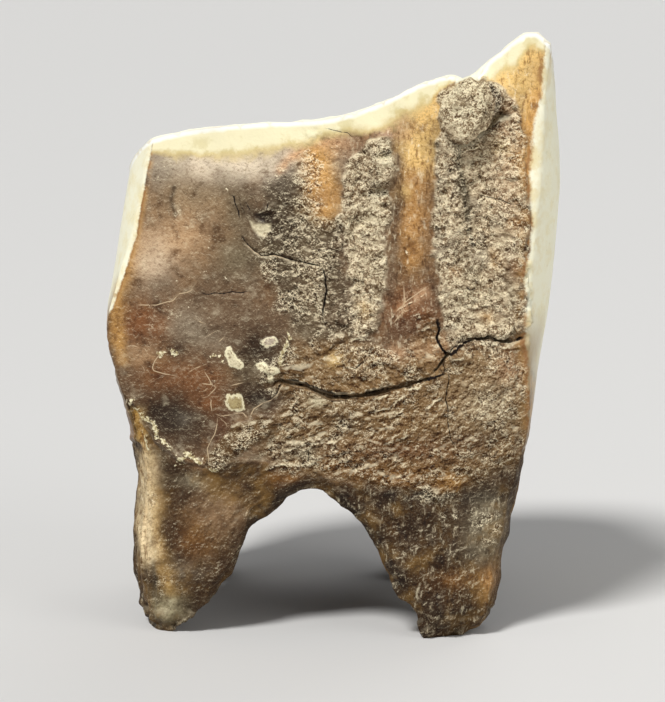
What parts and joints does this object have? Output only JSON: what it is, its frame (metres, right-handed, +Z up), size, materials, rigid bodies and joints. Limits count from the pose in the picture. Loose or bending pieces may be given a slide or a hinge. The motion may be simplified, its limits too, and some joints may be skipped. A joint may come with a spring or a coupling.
{
  "type": "fossil woolly rhino tooth",
  "caption": "Tall fossil rhino upper molar standing on its broken roots, with a ribbed, cement-crusted cheek-side wall, a long fracture and a worn, pitted chewing surface.",
  "frame": {"origin": "on the surface it stands on, at the middle of its outline seen from above", "axes": "+Z up from the root tips to the chewing surface, +X towards the front of the mouth (mesial), +Y from the cheek-side wall towards the tongue"},
  "size_m": [0.0596, 0.0516, 0.0797],
  "materials": {
    "fossil_tooth": "satin fossil enamel with matt, granular cement"
  },
  "bodies": {
    "root": {"tooth": "fossil_tooth"}
  },
  "joints": []
}
